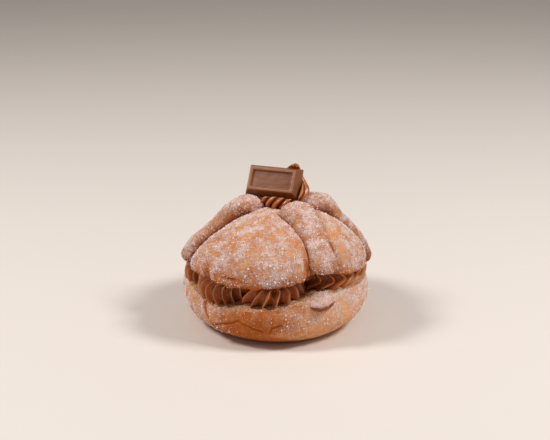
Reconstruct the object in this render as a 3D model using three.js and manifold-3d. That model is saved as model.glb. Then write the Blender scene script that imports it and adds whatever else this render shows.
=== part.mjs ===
// Filled pan de muerto: a sugared sweet bun cut in two, with piped chocolate cream between its halves,
// four dough bones over the crown, and a piece of chocolate leaning on a rosette of the same cream.
//
// Lengths are in millimetres and angles in degrees. The origin is the middle of the flat foot that the
// bun stands on. +X is the viewer's right, +Y points away from the viewer and +Z up, so the front of
// the bun faces -Y. An azimuth is counted from +X towards +Y, which puts the front at -90.

import * as THREE from 'three';
import { mergeVertices } from 'three/addons/utils/BufferGeometryUtils.js';
import Module from 'manifold-3d';

const wasm = await Module();
wasm.setup();

// ---------------------------------------------------------------- driving dimensions

const GAP = 0.42; // room left round a piece along its surface's slope, 0.3 or more square to it

// Lower half of the bun.
const BASE_RADIUS = 55;
const FOOT_RADIUS = 39;
const WIDEST_HEIGHT = 17;
const CUT_TUCK = 1.8; // how far the cut edge lies inside the widest ring
// Height of the cut round the bun: azimuth, height.
const CUT_EDGE = [
  [-180, 26.6],
  [-162, 26.4],
  [-150, 25.6],
  [-141, 23.6],
  [-128, 21.8],
  [-115, 22.0],
  [-102, 23.6],
  [-90, 25.0],
  [-78, 28.0],
  [-68, 29.8],
  [-40, 29.4],
  [-24, 28.4],
  [-8, 27.8],
  [30, 27.0],
  [80, 26.4],
  [130, 26.8],
];
// A deep fold in the side, with the dough standing out to its right.
const FOLD = { azimuth: -134, width: 7, step: 1.5 };

// Upper half round the bun: azimuth, radius, height of its cut edge, fullness of its dome (2 is an
// ellipse, less is a flatter slope and more a squarer shoulder).
const LID_PLAN = [
  [-180, 50.0, 34.6, 1.6],
  [-158, 50.4, 34.2, 1.62],
  [-143, 50.9, 36.2, 1.78],
  [-127, 51.0, 34.9, 1.96],
  [-113, 51.0, 35.4, 2.06],
  [-100, 51.0, 36.6, 2.1],
  [-84, 51.2, 38.2, 2.1],
  [-72, 51.5, 39.8, 2.1],
  [-62, 51.8, 42.0, 2.1],
  [-52, 52.0, 42.0, 2.15],
  [-43, 52.2, 38.8, 2.2],
  [-24, 52.8, 36.8, 2.25],
  [-8, 53.2, 35.2, 2.3],
  [14, 53.2, 34.6, 2.3],
  [60, 51.6, 33.6, 2.15],
  [105, 51.0, 33.6, 1.9],
  [145, 50.3, 34.2, 1.65],
];
const LIP_HEIGHT = 4; // from the cut edge up to the widest ring
const LIP_TUCK = 0.9;
const CROWN_HEIGHT = 69.5;
const CROWN_DIMPLE = { depth: 3, radius: 9 };
const QUARTER_BULGE = 2.4; // the dough swells between the bones
const GROOVE_DEPTH = 6.5; // and is pressed in under them,
const GROOVE_DEPTH_AT_RIM = 3.5; // less so towards the rim
const DENTS = [
  { azimuth: -137, height: 38, spread: [2.6, 4.5], depth: 2.2 },
  { azimuth: -69, height: 46.5, spread: [2.4, 5.5], depth: 2.4 },
];

// The bones: ropes of dough with a knob at both ends, laid from the crown to the rim. The azimuths are
// those of the crown end and the rim end, groove is the half width of the dip they lie in, and their
// stations are distance from the axis, height, half width and half thickness.
const BONES = [
  {
    name: 'bone_left',
    azimuths: [180, 179],
    groove: 12,
    stations: [
      [6, 66.0, 8.0, 5.2],
      [16.5, 67.8, 9.0, 5.8],
      [23, 65.2, 8.6, 5.5],
      [29.2, 60.1, 7.4, 4.8],
      [38, 51.8, 6.6, 4.1],
      [45.1, 45.3, 7.4, 4.4],
      [49.4, 38.4, 8.0, 4.8],
      [51.2, 33.6, 7.6, 4.4],
    ],
  },
  {
    name: 'bone_front',
    azimuths: [-50, -57.5],
    groove: 8.5,
    stations: [
      [13, 67.4, 9.0, 5.2],
      [21, 68.2, 10.2, 5.8],
      [31, 63.8, 9.0, 5.2],
      [41, 56.0, 7.8, 4.8],
      [48, 47.0, 8.2, 5.0],
      [51.4, 36.0, 8.2, 5.0],
    ],
  },
  {
    name: 'bone_right',
    azimuths: [12, 12],
    groove: 9,
    stations: [
      [12, 66.5, 8.0, 5.2],
      [20, 68.0, 8.8, 5.6],
      [26, 68.1, 9.0, 5.6],
      [31.5, 65.0, 8.0, 5.2],
      [37.5, 57.6, 6.6, 4.5],
      [44.6, 50.8, 6.0, 4.0],
      [49, 44.4, 6.4, 4.2],
      [53, 36.8, 7.0, 4.8],
      [54.6, 28.8, 7.0, 5.0],
    ],
  },
  {
    name: 'bone_back',
    azimuths: [104, 98],
    groove: 9,
    stations: [
      [10, 66.8, 8.2, 5.2],
      [19, 67.4, 8.6, 5.4],
      [30, 62.4, 7.0, 4.6],
      [41.5, 52.8, 6.4, 4.2],
      [48.5, 43.6, 7.6, 4.8],
      [51.8, 35.4, 7.4, 4.4],
    ],
  },
];

const CUT_BONE = 1; // the front bone, which is cut off at the lid's edge
const CUT_BONE_RISE = 1.5; // height of that cut over the lid's edge

// The end of the front bone, left behind on the lower half.
const TIP = { azimuth: -61, radius: 51.6, height: 27.6, half: [6.2, 8.8, 5], dip: 14, roll: 8 };

// Piped cream: overlapping star-tip dollops in a ring, on a core that fills the bun's middle. ring is a
// dollop's distance from the axis, and a tilted one has its peak turned outwards.
const CREAM_CORE_RADIUS = 36;
const DOLLOP = { radius: 18.6, halfHeight: 20, ridges: 18, ridgeDepth: 2.6 };
const DOLLOPS = [
  { azimuth: -165, ring: 34.2, twist: 10, tilt: 0, size: 1.04 },
  { azimuth: -134, ring: 34.2, twist: 12, tilt: 5, size: 1.06 },
  { azimuth: -91, ring: 36, twist: 50, tilt: 38, size: 1 },
  { azimuth: -33, ring: 34.2, twist: 70, tilt: 5, size: 1 },
  { azimuth: 5, ring: 34.6, twist: 30, tilt: 0, size: 1 },
  { azimuth: 44, ring: 33.6, twist: 20, tilt: 0, size: 0.97 },
  { azimuth: 82, ring: 34, twist: 40, tilt: 0, size: 0.98 },
  { azimuth: 118, ring: 34, twist: 25, tilt: 0, size: 1 },
  { azimuth: 153, ring: 33.4, twist: 15, tilt: 0, size: 0.94 },
];

// Rosette on the crown. Its profile runs from the peak to the foot: radius and height.
const ROSETTE = {
  place: [5.6, 5.5, 66],
  profile: [
    [0, 24.2],
    [2.2, 23.2],
    [4.6, 20.8],
    [7.4, 17.4],
    [10.8, 13.4],
    [13.2, 10.3],
    [13.9, 7.4],
    [13.3, 4.2],
    [11.2, 1.2],
    [0, 0],
  ],
  ridges: 18,
  ridgeDepth: 2.2,
  twist: 60,
  lean: [6.5, 5], // how far its peak hangs over to the right and to the back
};

// Chocolate piece: a moulded block with slanted sides and a sunken panel, leaning back on the rosette.
const BAR = { length: 33, width: 19, thick: 6.4, draft: 2.8, border: 1.2, panelDepth: 1, panelSlope: 0.9 };
const BAR_PLACE = { middle: [-0.4, 8.4, 79], yaw: -20, lean: 32 };

// ---------------------------------------------------------------- helpers

const { degToRad, euclideanModulo, lerp, smoothstep } = THREE.MathUtils;

/** Shortest signed angle to an azimuth from another one. */
const turn = (to, from) => ((((to - from) % 360) + 540) % 360) - 180;

/** Smooth closed curve through rows of [azimuth, ...values]: gives the values at any azimuth. */
function around(rows) {
  const closed = [...rows, [rows[0][0] + 360, ...rows[0].slice(1)]];
  const size = rows[0].length - 1;
  const curve = new THREE.CubicInterpolant(closed.map((row) => row[0]), closed.flatMap((row) => row.slice(1)), size);
  curve.settings = { endingStart: THREE.WrapAroundEnding, endingEnd: THREE.WrapAroundEnding };
  return (azimuth) => Array.from(curve.evaluate(euclideanModulo(azimuth + 180, 360) - 180));
}

const polar = (azimuth, radius, z) =>
  new THREE.Vector3(radius * Math.cos(degToRad(azimuth)), radius * Math.sin(degToRad(azimuth)), z);

/** Horizontal direction square to an azimuth. */
const sideways = (azimuth) => polar(azimuth + 90, 1, 0);

/**
 * Closed surface over a stack of rings. point(ring, share of a turn) gives a Vector3; the first and the
 * last ring are single points.
 */
function ringSurface(rings, columns, point) {
  const last = rings - 1;
  const positions = point(0, 0).toArray();
  for (let i = 1; i < last; i++) {
    for (let j = 0; j < columns; j++) positions.push(...point(i, j / columns).toArray());
  }
  positions.push(...point(last, 0).toArray());
  const at = (i, j) => 1 + (i - 1) * columns + (j % columns);
  const end = 1 + (last - 1) * columns;
  const index = [];
  for (let j = 0; j < columns; j++) {
    index.push(0, at(1, j), at(1, j + 1));
    for (let i = 1; i < last - 1; i++) {
      index.push(at(i, j), at(i + 1, j), at(i + 1, j + 1));
      index.push(at(i, j), at(i + 1, j + 1), at(i, j + 1));
    }
    index.push(end, at(last - 1, j + 1), at(last - 1, j));
  }
  const geometry = new THREE.BufferGeometry();
  geometry.setAttribute('position', new THREE.Float32BufferAttribute(positions, 3));
  geometry.setIndex(index);
  return geometry;
}

/** All the room between a wavy height round the axis and a level one far from it. */
function wavySlab(heightAt, farHeight) {
  const rings = [[0, farHeight], [90, farHeight], [90, null], [30, null], [0, heightAt(0)]];
  if (farHeight < heightAt(0)) rings.reverse();
  return ringSurface(rings.length, 72, (ring, share) => {
    const [radius, z] = rings[ring];
    return polar(360 * share, radius, z ?? heightAt(360 * share));
  });
}

/** A closed geometry as a manifold-3d solid. */
function solid(geometry) {
  const bare = geometry.clone();
  bare.deleteAttribute('normal');
  bare.deleteAttribute('uv');
  const merged = mergeVertices(bare, 1e-4);
  return new wasm.Manifold(
    new wasm.Mesh({
      numProp: 3,
      vertProperties: merged.attributes.position.array,
      triVerts: new Uint32Array(merged.index.array),
    }),
  );
}

function mesh(name, body, material) {
  const { vertProperties, triVerts } = body.getMesh();
  const geometry = new THREE.BufferGeometry();
  geometry.setAttribute('position', new THREE.BufferAttribute(vertProperties, 3));
  geometry.setIndex(new THREE.BufferAttribute(triVerts, 1));
  geometry.computeVertexNormals();
  const made = new THREE.Mesh(geometry, material);
  made.name = name;
  return made;
}

// ---------------------------------------------------------------- lower half

const cutEdge = around(CUT_EDGE);
const cutMiddle = CUT_EDGE.reduce((sum, row) => sum + row[1], 0) / CUT_EDGE.length;

/** Uneven swelling of the lower half's side. */
function baseLumps(azimuth, z) {
  const a = degToRad(azimuth);
  const rolling = 0.5 * Math.sin(3 * a + 0.6) + 0.4 * Math.sin(5 * a - 1.1 + z / 9) + 0.25 * Math.sin(9 * a + z / 5);
  const side = turn(azimuth, FOLD.azimuth) / FOLD.width;
  return (rolling + FOLD.step * side * Math.exp(-side * side)) * smoothstep(z, 0, 9);
}

/** grow moves the surface outwards, to clear room round the half. */
function baseSurface(grow = 0) {
  const [crumbRings, upperRings, lowerRings] = [3, 4, 5];
  return ringSurface(crumbRings + upperRings + lowerRings + 2, 64, (ring, share) => {
    const azimuth = 360 * share;
    const [cut] = cutEdge(azimuth);
    if (ring <= crumbRings) {
      const reach = ring / crumbRings;
      const edge = BASE_RADIUS - CUT_TUCK + baseLumps(azimuth, cut) + grow;
      return polar(azimuth, reach * edge, lerp(cutMiddle, cut, reach * reach) + grow);
    }
    const up = 1 - (ring - crumbRings) / upperRings;
    if (up >= 0) {
      const z = lerp(WIDEST_HEIGHT, cut, up);
      return polar(azimuth, BASE_RADIUS - CUT_TUCK * up * up + baseLumps(azimuth, z) + grow, z);
    }
    const down = (ring - crumbRings - upperRings) / lowerRings;
    if (down > 1) return new THREE.Vector3();
    const z = WIDEST_HEIGHT * (1 - Math.sin(degToRad(90 * down)));
    const radius = lerp(FOOT_RADIUS, BASE_RADIUS, Math.cos(degToRad(90 * down)));
    return polar(azimuth, radius + baseLumps(azimuth, z) + grow, z);
  });
}

// ---------------------------------------------------------------- upper half

const lidPlan = around(LID_PLAN);

/** Azimuth of a bone's middle line at a distance from the axis. */
const boneAzimuth = ({ azimuths }, radius) => lerp(...azimuths, Math.min(1, radius / LID_PLAN[0][1]));

/** How far the dome stands out between the bones, or lies back under them. */
function domeRelief(azimuth, radius, lidRadius) {
  const lines = BONES.map((bone) => boneAzimuth(bone, radius));
  const before = Math.min(...lines.map((line) => euclideanModulo(azimuth - line, 360)));
  const after = Math.min(...lines.map((line) => euclideanModulo(line - azimuth, 360)));
  const between = Math.sin((Math.PI * before) / (before + after || 1));
  const swelling = QUARTER_BULGE * between * Math.sin(Math.PI * Math.min(radius / lidRadius, 0.8));
  const grooves = BONES.map(({ groove }, i) => {
    const away = degToRad(turn(azimuth, lines[i]));
    if (Math.cos(away) <= 0) return 0;
    const side = (radius * Math.sin(away)) / groove;
    return Math.exp(-side * side) * smoothstep(radius, 4, 22);
  });
  const depth = lerp(GROOVE_DEPTH, GROOVE_DEPTH_AT_RIM, smoothstep(radius, 0.75 * lidRadius, lidRadius));
  const dimple = CROWN_DIMPLE.depth * Math.exp(-((radius / CROWN_DIMPLE.radius) ** 2));
  return swelling - depth * Math.max(...grooves) - dimple;
}

/** Small dents in the lid's side, by distance round it and height. */
function dents(azimuth, radius, z) {
  return DENTS.reduce((sum, dent) => {
    const across = (radius * degToRad(turn(azimuth, dent.azimuth))) / dent.spread[0];
    const up = (z - dent.height) / dent.spread[1];
    return sum + dent.depth * Math.exp(-across * across - up * up);
  }, 0);
}

/** Point of the dome, angle degrees down from the crown, moved out along the dome's normal. */
function domePoint(azimuth, angle, grow) {
  const [lidRadius, edge, fullness] = lidPlan(azimuth);
  const waist = edge + LIP_HEIGHT;
  const rise = CROWN_HEIGHT - waist;
  const across = Math.sin(degToRad(angle)) ** (2 / fullness);
  const up = Math.cos(degToRad(angle)) ** (2 / fullness);
  const normal = new THREE.Vector2(across ** (fullness - 1) / lidRadius, up ** (fullness - 1) / rise).normalize();
  const dent = dents(azimuth, lidRadius * across, waist + rise * up);
  const out = domeRelief(azimuth, lidRadius * across, lidRadius) - dent + grow;
  return polar(azimuth, Math.max(0, lidRadius * across + out * normal.x), waist + rise * up + out * normal.y);
}

function lidSurface(grow = 0) {
  const [domeRings, lipRings, crumbRings] = [14, 2, 3];
  return ringSurface(domeRings + lipRings + crumbRings + 1, 72, (ring, share) => {
    const azimuth = 360 * share;
    if (ring <= domeRings) return domePoint(azimuth, (90 * ring) / domeRings, grow);
    const [lidRadius, edge] = lidPlan(azimuth);
    const waist = domePoint(azimuth, 90, 0);
    const waistRadius = Math.hypot(waist.x, waist.y);
    if (ring <= domeRings + lipRings) {
      const down = (ring - domeRings) / lipRings;
      const radius = waistRadius - LIP_TUCK * down * down + grow;
      return polar(azimuth, radius, edge + LIP_HEIGHT * (1 - down) - (down === 1 ? grow : 0));
    }
    const reach = 1 - (ring - domeRings - lipRings) / crumbRings;
    const middle = 35.5;
    return polar(azimuth, reach * (waistRadius - LIP_TUCK + grow), lerp(middle, edge, reach * reach) - grow);
  });
}

// ---------------------------------------------------------------- bones

/** 0 at a bone's very ends, 1 a cap's length in. */
function capRound(share, cap) {
  const inside = Math.min(share, 1 - share) / cap;
  return inside >= 1 ? 1 : Math.sqrt(Math.max(0, 1 - (1 - inside) ** 2));
}

/** Rope of dough along a bone's stations; grow widens and lengthens it, to clear room round the bone. */
function boneSurface(bone, grow = 0) {
  const points = bone.stations.map(([radius, z]) => new THREE.Vector3(radius, 0, z));
  for (const [end, next] of [[0, 1], [-1, -2]]) {
    const outwards = points.at(end).clone().sub(points.at(next)).setLength(grow);
    points.at(end).add(outwards);
  }
  const path = new THREE.CatmullRomCurve3(points);
  const girths = bone.stations.map(([, , wide, thick]) => new THREE.Vector3(wide + grow, thick + grow, 0));
  const girth = new THREE.CatmullRomCurve3(girths);
  const rings = 16;
  return ringSurface(rings, 14, (ring, turnShare) => {
    const share = 0.5 - 0.5 * Math.cos((Math.PI * ring) / (rings - 1));
    const along = path.getPoint(share);
    const heading = path.getTangent(share);
    const { x: wide, y: thick } = girth.getPoint(share).multiplyScalar(capRound(share, 0.1));
    const here = boneAzimuth(bone, along.x);
    const turned = -2 * Math.PI * turnShare;
    const outwards = polar(here, -heading.z, heading.x);
    return polar(here, along.x, along.z)
      .addScaledVector(sideways(here), wide * Math.cos(turned))
      .addScaledVector(outwards, thick * Math.sin(turned));
  });
}

function boneTip() {
  const pad = new THREE.SphereGeometry(1, 18, 10).rotateX(Math.PI / 2).scale(...TIP.half);
  return solid(pad)
    .rotate([TIP.roll, TIP.dip, TIP.azimuth])
    .translate(polar(TIP.azimuth, TIP.radius, TIP.height).toArray());
}

// ---------------------------------------------------------------- cream

/** Star-tip swirl over a profile of [radius, height] from peak to foot: crests and valleys twist down it. */
function piped(profile, ridges, ridgeDepth, twist, lean = [0, 0]) {
  const last = profile.length - 1;
  const [peak] = profile;
  const widest = Math.max(...profile.map(([radius]) => radius));
  return ringSurface(profile.length, ridges * 2, (ring, share) => {
    const [radius, z] = profile[ring];
    const valley = Math.round(share * ridges * 2) % 2 ? ridgeDepth * Math.sqrt(radius / widest) : 0;
    const up = (z - profile[last][1]) / (peak[1] - profile[last][1]);
    const point = polar(360 * share + twist * up, Math.max(radius - valley, 0.35 * radius), z);
    return point.add(new THREE.Vector3(...lean, 0).multiplyScalar(up * up));
  });
}

function creamDollop({ azimuth, ring, twist, tilt, size }) {
  const { radius, halfHeight, ridges, ridgeDepth } = DOLLOP;
  const steps = 11;
  const profile = Array.from({ length: steps + 1 }, (_, i) => {
    const angle = (Math.PI * i) / steps;
    return [radius * size * Math.sin(angle), radius * size * Math.cos(angle)];
  });
  const height = (cutEdge(azimuth)[0] + lidPlan(azimuth)[1]) / 2;
  return solid(piped(profile, ridges, ridgeDepth, twist))
    .rotate([0, tilt, 0])
    .scale([1, 1, halfHeight / radius])
    .rotate([0, 0, azimuth])
    .translate(polar(azimuth, ring, height).toArray());
}

/** Ring of dollops, filled between the two halves and cut off level with their edges. */
function creamFilling(lid, base) {
  const core = new THREE.CylinderGeometry(CREAM_CORE_RADIUS, CREAM_CORE_RADIUS, 30, 48);
  core.rotateX(Math.PI / 2);
  core.translate(0, 0, 31);
  const above = solid(wavySlab((azimuth) => lidPlan(azimuth)[1] - GAP, 100));
  const below = solid(wavySlab((azimuth) => cutEdge(azimuth)[0] + GAP, 0));
  return DOLLOPS.reduce((all, dollop) => all.add(creamDollop(dollop)), solid(core))
    .subtract(lid)
    .subtract(base)
    .subtract(above)
    .subtract(below);
}

function creamRosette(lid) {
  const { place, profile, ridges, ridgeDepth, twist, lean } = ROSETTE;
  return solid(piped(profile, ridges, ridgeDepth, twist, lean)).translate(place).subtract(lid).subtract(barRoom());
}

// ---------------------------------------------------------------- chocolate piece

/** Box standing on z = 0 whose top is narrower than its bottom by inset on every side. */
function taperedBlock(length, width, height, inset) {
  const block = new THREE.BoxGeometry(length, width, height).translate(0, 0, height / 2);
  const position = block.attributes.position;
  for (let i = 0; i < position.count; i++) {
    if (position.getZ(i) < height / 2) continue;
    position.setX(i, position.getX(i) - Math.sign(position.getX(i)) * inset);
    position.setY(i, position.getY(i) - Math.sign(position.getY(i)) * inset);
  }
  return block;
}

/** Stands a piece that lies on its back round the origin up against the rosette. */
const placeBar = (piece) =>
  piece.rotate([90 - BAR_PLACE.lean, 0, 0]).rotate([0, 0, BAR_PLACE.yaw]).translate(BAR_PLACE.middle);

function chocolatePiece() {
  const { length, width, thick, draft, border, panelDepth, panelSlope } = BAR;
  const inset = 2 * (draft + border + panelSlope);
  const panel = taperedBlock(length - inset, width - inset, 2 * panelDepth, -2 * panelSlope);
  panel.translate(0, 0, thick - panelDepth);
  return placeBar(solid(taperedBlock(length, width, thick, draft)).subtract(solid(panel)));
}

/** The chocolate piece and all the room in front of it, with a gap round them. */
function barRoom() {
  const { length, width, draft } = BAR;
  return placeBar(solid(taperedBlock(length + 2 * GAP, width + 2 * GAP, 40, draft * 2)).translate([0, 0, -GAP]));
}

// ---------------------------------------------------------------- assembly

const food = (color, roughness) => new THREE.MeshStandardMaterial({ color, roughness, metalness: 0 });
const crust = food(0xc98f63, 0.85);
const boneCrust = food(0xbd8765, 0.85);
const cream = food(0x6b3417, 0.35);
const chocolate = food(0x7d4a36, 0.4);

const base = solid(baseSurface());
const lid = solid(lidSurface());
const baseRoom = solid(baseSurface(GAP));
const lidRoom = solid(lidSurface(GAP));
const underLid = solid(wavySlab((azimuth) => lidPlan(azimuth)[1] + CUT_BONE_RISE, 0));

const bones = BONES.map((bone) => solid(boneSurface(bone)).subtract(lidRoom));
bones[CUT_BONE] = bones[CUT_BONE].subtract(underLid);
const boneRooms = BONES.map((bone) => solid(boneSurface(bone, GAP)));
const clearOfBones = (body) => boneRooms.reduce((left, room) => left.subtract(room), body);
const tip = boneTip().subtract(baseRoom);
const filling = clearOfBones(creamFilling(lidRoom, baseRoom));
const bar = chocolatePiece();
const rosette = clearOfBones(creamRosette(lidRoom));

const bun = new THREE.Group();
bun.add(mesh('bun_base', base, crust));
bun.add(mesh('bun_top', lid, crust));
bun.add(mesh('cream_filling', filling, cream));
bones.forEach((body, i) => bun.add(mesh(BONES[i].name, body, boneCrust)));
bun.add(mesh('bone_tip', tip, boneCrust));
bun.add(mesh('cream_rosette', rosette, cream));
bun.add(mesh('chocolate_piece', bar, chocolate));

export default bun;
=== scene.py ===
import bpy
import numpy as np
from bpy.props import FloatProperty, FloatVectorProperty, PointerProperty
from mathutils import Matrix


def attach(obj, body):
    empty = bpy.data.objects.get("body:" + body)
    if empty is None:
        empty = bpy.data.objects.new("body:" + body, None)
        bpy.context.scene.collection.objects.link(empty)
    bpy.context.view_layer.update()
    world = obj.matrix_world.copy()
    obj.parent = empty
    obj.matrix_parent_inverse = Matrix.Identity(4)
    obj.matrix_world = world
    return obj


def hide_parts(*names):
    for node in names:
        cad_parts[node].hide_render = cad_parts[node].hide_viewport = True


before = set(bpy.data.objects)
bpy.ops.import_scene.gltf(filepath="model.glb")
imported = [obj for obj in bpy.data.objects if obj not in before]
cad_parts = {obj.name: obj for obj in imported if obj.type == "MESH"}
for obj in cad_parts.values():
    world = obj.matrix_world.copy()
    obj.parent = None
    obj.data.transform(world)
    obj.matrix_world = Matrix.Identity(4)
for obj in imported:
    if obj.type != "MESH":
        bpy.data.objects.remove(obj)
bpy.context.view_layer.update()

bl_info = {
    "name": "Filled pan de muerto",
    "version": (1, 0, 0),
    "blender": (4, 5, 0),
    "location": "3D View > Sidebar > Bun",
    "description": "A sugared sweet bun with dough bones, piped chocolate cream and a piece of chocolate",
    "category": "Add Mesh",
}

# Shapes are worked out in millimetres and degrees, and meshes are made in metres. The bun stands on
# z = 0 round the z axis. An azimuth is counted from +x towards +y, so the front is at -90.
MM = 0.001
# Azimuth of the side that faces the camera.
FRONT = -90
# Height in metres that the camera is placed round.
BUN_MIDDLE = 0.0395

# ---------------------------------------------------------------- the bun's sizes

# Usual radius of the lower half, on which its side is laid out flat.
BASE_RADIUS = 55.0
# Lower half: azimuth, widest radius, radius of its foot, height of its widest ring.
BASE_PLAN = [
    (-180, 54.6, 35.5, 20.0), (-150, 54.1, 32.5, 17.4), (-120, 54.3, 32.3, 17.0), (-90, 55.3, 35.0, 16.7),
    (-60, 54.8, 37.0, 18.0), (-30, 55.0, 31.5, 15.8), (0, 54.4, 32.5, 16.5), (60, 55.0, 36.5, 17.0),
    (120, 55.0, 37.0, 17.6),
]
# How far the side leans in between its widest ring and the cut edge.
CUT_TUCK = 1.8
# Height of the lower half's cut edge: azimuth, height.
CUT_EDGE = [
    (-180, 26.6), (-162, 26.4), (-150, 25.6), (-141, 23.6), (-128, 21.8), (-115, 22.0),
    (-102, 23.6), (-90, 25.0), (-78, 28.0), (-68, 29.8), (-40, 29.4), (-24, 28.4),
    (-8, 27.8), (30, 27.0), (80, 26.4), (130, 26.8),
]
# Heights of the two cut faces at the bun's axis.
CUT_MIDDLE = np.mean([height for _, height in CUT_EDGE])
LID_MIDDLE = 35.5
# Fold down the lower half's side: its azimuth, half width and step.
FOLD = {"azimuth": -134.0, "width": 7.0, "step": 1.5}
# Where the lower half's crust is brown, partly baked and partly painted shade with a warm painted bounce
# light,
# and where it is pale: azimuth, and width in degrees.
BAKED_AND_SHADED_FRONT = (-104, 27)
PALE_FRONT = (-46, 24)
# Cracks in the lower half's side: half width, depth, and a line of azimuths and heights.
SIDE_CRACKS = [
    (1.1, 1.7, [(-138, 22), (-135.9, 18.3), (-133.4, 14.2), (-131, 10.6), (-129.5, 7)]),
    (0.5, 1.0, [(-131, 10.6), (-127.8, 12.1), (-121.9, 13.6), (-115.7, 15.2), (-111.9, 17.2),
                (-108.8, 15.7), (-105.1, 14.8), (-101.6, 13.5), (-97.5, 12.6)]),
    (0.5, 0.9, [(-92.9, 11.6), (-92.6, 13.3), (-91.5, 14.9), (-89.4, 15.7), (-86.5, 16.6)]),
    (0.5, 0.5, [(-52, 9), (-49, 10.4), (-46, 9.9)]),
    (0.5, 0.9, [(132, 15), (141, 13.4), (149, 14.8)]),
]

# Upper half: azimuth, radius, height of its cut edge, fullness of its dome.
LID_PLAN = [
    (-180, 50.9, 35.2, 1.48), (-158, 51.2, 34.8, 1.5), (-143, 51.3, 36.6, 1.7), (-127, 51.0, 34.9, 1.96),
    (-113, 51.0, 35.1, 2.06), (-100, 51.0, 35.9, 2.1), (-84, 51.2, 37.5, 2.1), (-72, 51.5, 39.3, 2.1),
    (-62, 51.8, 41.6, 2.1), (-52, 52.0, 42.0, 2.12), (-43, 52.2, 38.8, 2.1), (-24, 53.4, 36.8, 1.98),
    (-8, 51.9, 35.2, 1.82), (14, 51.1, 34.6, 1.84), (60, 51.4, 33.6, 2.0), (105, 51.0, 33.6, 1.9),
    (145, 50.6, 34.2, 1.62),
]
# Height of the lip between the dome and the cut edge, and how far it tucks in.
LIP_HEIGHT = 4.0
LIP_TUCK = 0.9
CROWN_HEIGHT = 69.5
CROWN_DIMPLE = {"depth": 3.0, "radius": 9.0}
# How far the dome swells between two bones.
QUARTER_BULGE = 2.4
# Crease in the dome along a bone's sides.
CREASE = {"place": 0.93, "width": 1.1, "depth": 2.0}
# Pale strip beside the front bone: degrees from the bone's line, shift in millimetres, and width.
STRIP = {"turn": 16, "shift": 1.0, "width": 4.2}
# Sugared brow of the front quarter: azimuth, height, width in degrees, and height in millimetres.
BROW = {"azimuth": -93, "height": 49, "wide": 17, "tall": 7}
# Cut end of a bone: shares of its girth on the rings that close it, and how much its rim is rounded.
CUT_END = {"caps": (0.985, 0.9, 0.6, 0.3, 0.0), "rounding": 0.14}
# Dents and creases in the upper half: azimuth, height, half width, half height, depth.
DENTS = [
    (-137, 38, 2.6, 4.5, 2.2), (-69.5, 47.5, 2.0, 5.0, 2.4), (-118.5, 40.0, 5.0, 0.9, 1.5),
    (-112, 37.0, 12.0, 1.6, 0.5), (-97, 61.0, 5.0, 1.4, 0.6), (-104, 57.5, 4.0, 1.2, 0.4),
    (-20, 47, 2.0, 4.5, 0.7), (52, 41, 6.0, 1.1, 0.9), (150, 43, 2.2, 5.0, 1.2),
]

# Bones: azimuths of the crown end and the rim end, half width of the dip they lie in, its depth near the
# crown and at the rim, and stations of distance from the axis, height, half width and half thickness.
# Beside a soft side, the one at the greater azimuth, the dip is shallower by the given share.
BONES = {
    "bone_left": {
        "azimuths": (180, 179), "groove": 13, "depths": (4.4, 5.8),
        "stations": [(6, 66, 8, 5.2), (16.5, 67.8, 9, 5.8), (23, 65.2, 8.6, 5.5), (29.2, 60.1, 7.4, 4.8),
                     (38, 51.8, 6.6, 4.1), (45.1, 45.3, 7.4, 4.4), (49.4, 38.4, 8, 4.8),
                     (51.2, 33.6, 7.6, 4.4)],
    },
    "bone_front": {
        "azimuths": (-50, -57.6), "groove": 8.5, "depths": (3.6, 5.5), "soft": 0.7, "cut_at": 43.4,
        "stations": [(13, 67.4, 9, 5.2), (21, 68.2, 10.2, 5.8), (31, 63.8, 9, 5.2), (41, 56, 7.8, 4.8),
                     (48, 47, 8.6, 6.2), (50.4, 43.4, 8.2, 6.0)],
    },
    "bone_right": {
        "azimuths": (12, 12), "groove": 9, "depths": (3.8, 3.2),
        "stations": [(12, 66.5, 8, 5.2), (20, 68, 8.8, 5.6), (26, 68.1, 9, 5.6), (31.5, 65, 8, 5.2),
                     (37.5, 57.6, 6.6, 4.5), (44.6, 50.8, 6, 4), (49, 44.4, 6.4, 4.2), (53, 36.8, 7, 4.8),
                     (54.6, 28.8, 7, 5)],
    },
    "bone_back": {
        "azimuths": (104, 98), "groove": 9, "depths": (3.6, 2.6),
        "stations": [(10, 66.8, 8.2, 5.2), (19, 67.4, 8.6, 5.4), (30, 62.4, 7, 4.6), (41.5, 52.8, 6.4, 4.2),
                     (48.5, 43.6, 7.6, 4.8), (51.8, 35.4, 7.4, 4.4)],
    },
}
TIP = {"azimuth": -61.0, "radius": 52.0, "height": 26.6, "half": (6.0, 8.6, 5.0),
       "dent": 0.8, "dent_width": 3, "dip": 14.0, "roll": 8.0}

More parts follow.
